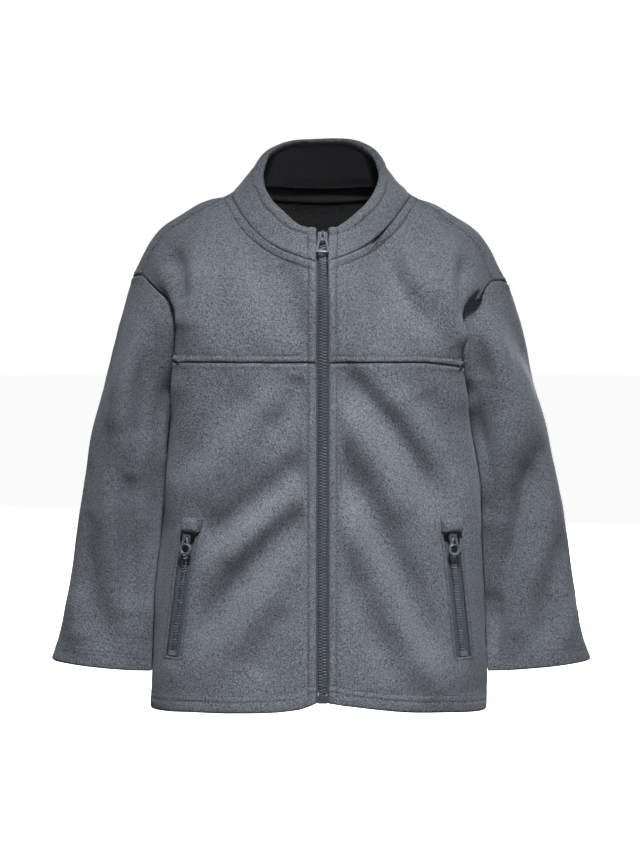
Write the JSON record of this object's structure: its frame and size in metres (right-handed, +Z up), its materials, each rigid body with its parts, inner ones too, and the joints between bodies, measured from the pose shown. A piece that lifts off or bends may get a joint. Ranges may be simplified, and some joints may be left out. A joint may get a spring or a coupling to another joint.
{
  "type": "fleece zip jacket",
  "caption": "Fleece jacket with a stand collar, front zip, yoke seams and slanted zip pockets, filled out as worn with no wearer.",
  "frame": {"origin": "between the shoulders, level with where the neck meets them, where a wearer or hanger holds the jacket", "axes": "+Z up, front of the jacket toward -Y, +X toward the viewer's right when facing the front"},
  "size_m": [0.5158, 0.1872, 0.5441],
  "materials": {
    "fleece": "matte napped fleece",
    "zip_tape": "plain woven tape",
    "zip_teeth": "moulded, semi-gloss",
    "zip_pulls": "satin enamel",
    "label": "smooth woven"
  },
  "bodies": {
    "jacket": {"back": "fleece", "front_left": "fleece", "front_right": "fleece", "yoke_left": "fleece", "yoke_right": "fleece", "sleeve_left": "fleece", "sleeve_right": "fleece", "collar": "fleece", "pocket_garage_left": "fleece", "pocket_garage_right": "fleece", "zip_tape_left": "zip_tape", "zip_tape_right": "zip_tape", "pocket_tape_left": "zip_tape", "pocket_tape_right": "zip_tape", "neck_tape": "zip_tape", "zip_chain": "zip_teeth", "zip_box": "zip_teeth", "pocket_chain_left": "zip_teeth", "pocket_chain_right": "zip_teeth", "pocket_stop_left": "zip_teeth", "pocket_stop_right": "zip_teeth", "front_slider": "zip_pulls", "pocket_slider_left": "zip_pulls", "pocket_slider_right": "zip_pulls", "neck_label": "label"},
    "front_zip_pull": {"front_pull": "zip_pulls"},
    "left_pocket_pull": {"pocket_pull_left": "zip_pulls"},
    "right_pocket_pull": {"pocket_pull_right": "zip_pulls"}
  },
  "joints": [
    {"name": "front_pull_hinge", "type": "hinge", "parent": "jacket", "child": "front_zip_pull", "pos_m": [0.0014, -0.07243, -0.03235], "axis": [-1, 0, 0], "range_deg": [0, 160]},
    {"name": "left_pocket_pull_hinge", "type": "hinge", "parent": "jacket", "child": "left_pocket_pull", "pos_m": [-0.12538, -0.07613, -0.31338], "axis": [-0.9143, 0.4051, 0], "range_deg": [0, 160]},
    {"name": "right_pocket_pull_hinge", "type": "hinge", "parent": "jacket", "child": "right_pocket_pull", "pos_m": [0.12312, -0.0787, -0.31343], "axis": [-0.9232, -0.3843, 0], "range_deg": [0, 160]}
  ]
}
